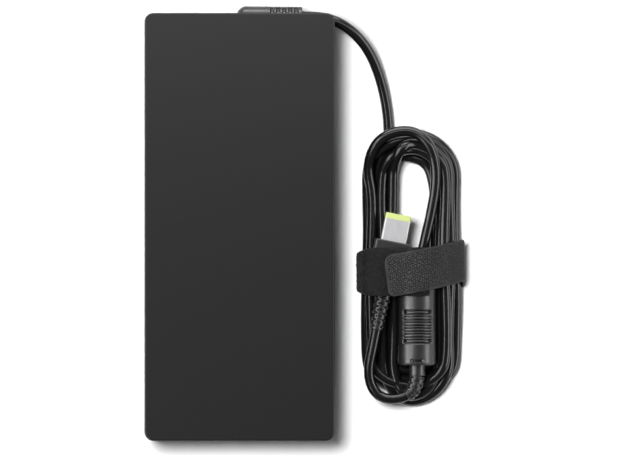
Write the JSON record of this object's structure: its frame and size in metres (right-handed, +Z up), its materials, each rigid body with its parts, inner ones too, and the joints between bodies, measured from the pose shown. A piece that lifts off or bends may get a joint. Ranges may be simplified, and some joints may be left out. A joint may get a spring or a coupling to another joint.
{
  "type": "laptop power adapter",
  "caption": "Flat rectangular laptop power adapter with a strapped hank of output cord, a ferrite bead and a rectangular plug.",
  "frame": {"origin": "bottom centre of the case, on the surface it stands on", "axes": "+Z up through the case's flat top, +Y towards the end wall that the output cord leaves by, +X towards the hank"},
  "size_m": [0.1352, 0.1832, 0.0254],
  "materials": {
    "case_plastic": "fine matt spark texture",
    "label_film": "satin film, blank",
    "inlet_plastic": "semi-gloss moulded",
    "plated_pin": "nickel plated",
    "board_laminate": "solder mask",
    "fuse_ceramic": "plain",
    "capacitor_box": "moulded box",
    "disc_ceramic": "dipped",
    "ferrite": "sintered",
    "copper_winding": "enamelled wire",
    "component_epoxy": "moulded epoxy",
    "capacitor_sleeve": "shrink sleeve",
    "heatsink_aluminium": "rolled sheet",
    "insulation_film": "pressed insulating paper",
    "wire_insulation": "extruded",
    "relief_rubber": "satin moulded",
    "cord_jacket": "smooth extruded, glossy",
    "bead_plastic": "satin moulded with fine texture",
    "plug_plastic": "satin moulded",
    "plug_metal": "satin nickel plate",
    "tip_plastic": "moulded",
    "strap_loop": "brushed loop pile",
    "strap_hook": "woven tape with moulded hooks"
  },
  "bodies": {
    "adapter": {"bottom_cover": "case_plastic", "top_cover": "case_plastic", "rating_label": "label_film", "ac_inlet_housing": "inlet_plastic", "inlet_pin_line": "plated_pin", "inlet_pin_neutral": "plated_pin", "inlet_pin_earth": "plated_pin", "circuit_board": "board_laminate", "fuse": "fuse_ceramic", "x_capacitor": "capacitor_box", "y_capacitors": "disc_ceramic", "common_mode_choke_core": "ferrite", "common_mode_choke_windings": "copper_winding", "bridge_rectifier": "component_epoxy", "pfc_choke_core": "ferrite", "pfc_choke_winding": "copper_winding", "bulk_capacitors": "capacitor_sleeve", "primary_heatsink": "heatsink_aluminium", "power_transistors": "component_epoxy", "transformer_core": "ferrite", "transformer_winding": "copper_winding", "secondary_heatsink": "heatsink_aluminium", "rectifier_transistors": "component_epoxy", "output_capacitors": "capacitor_sleeve", "control_board": "board_laminate", "top_heat_spreader": "heatsink_aluminium", "bottom_heat_spreader": "heatsink_aluminium", "insulation_sheet": "insulation_film", "inlet_wires": "wire_insulation", "output_leads": "wire_insulation", "cord_strain_relief": "relief_rubber", "cord_lead": "cord_jacket", "cord_hank": "cord_jacket", "cord_crossing": "cord_jacket", "bead_core": "ferrite", "bead_cover": "bead_plastic", "bead_strain_relief": "relief_rubber", "plug_overmould": "plug_plastic", "plug_shell": "plug_metal", "plug_tip": "tip_plastic", "plug_centre_pin": "plated_pin", "plug_strain_relief": "relief_rubber", "strap_band": "strap_loop"},
    "strap_end": {"strap_flap": "strap_hook"}
  },
  "joints": [
    {"name": "strap_peel", "type": "hinge", "parent": "adapter", "child": "strap_end", "pos_m": [0.09515, -0.0193, 0.0063], "axis": [0, 1, 0], "range_deg": [0, 130]}
  ]
}
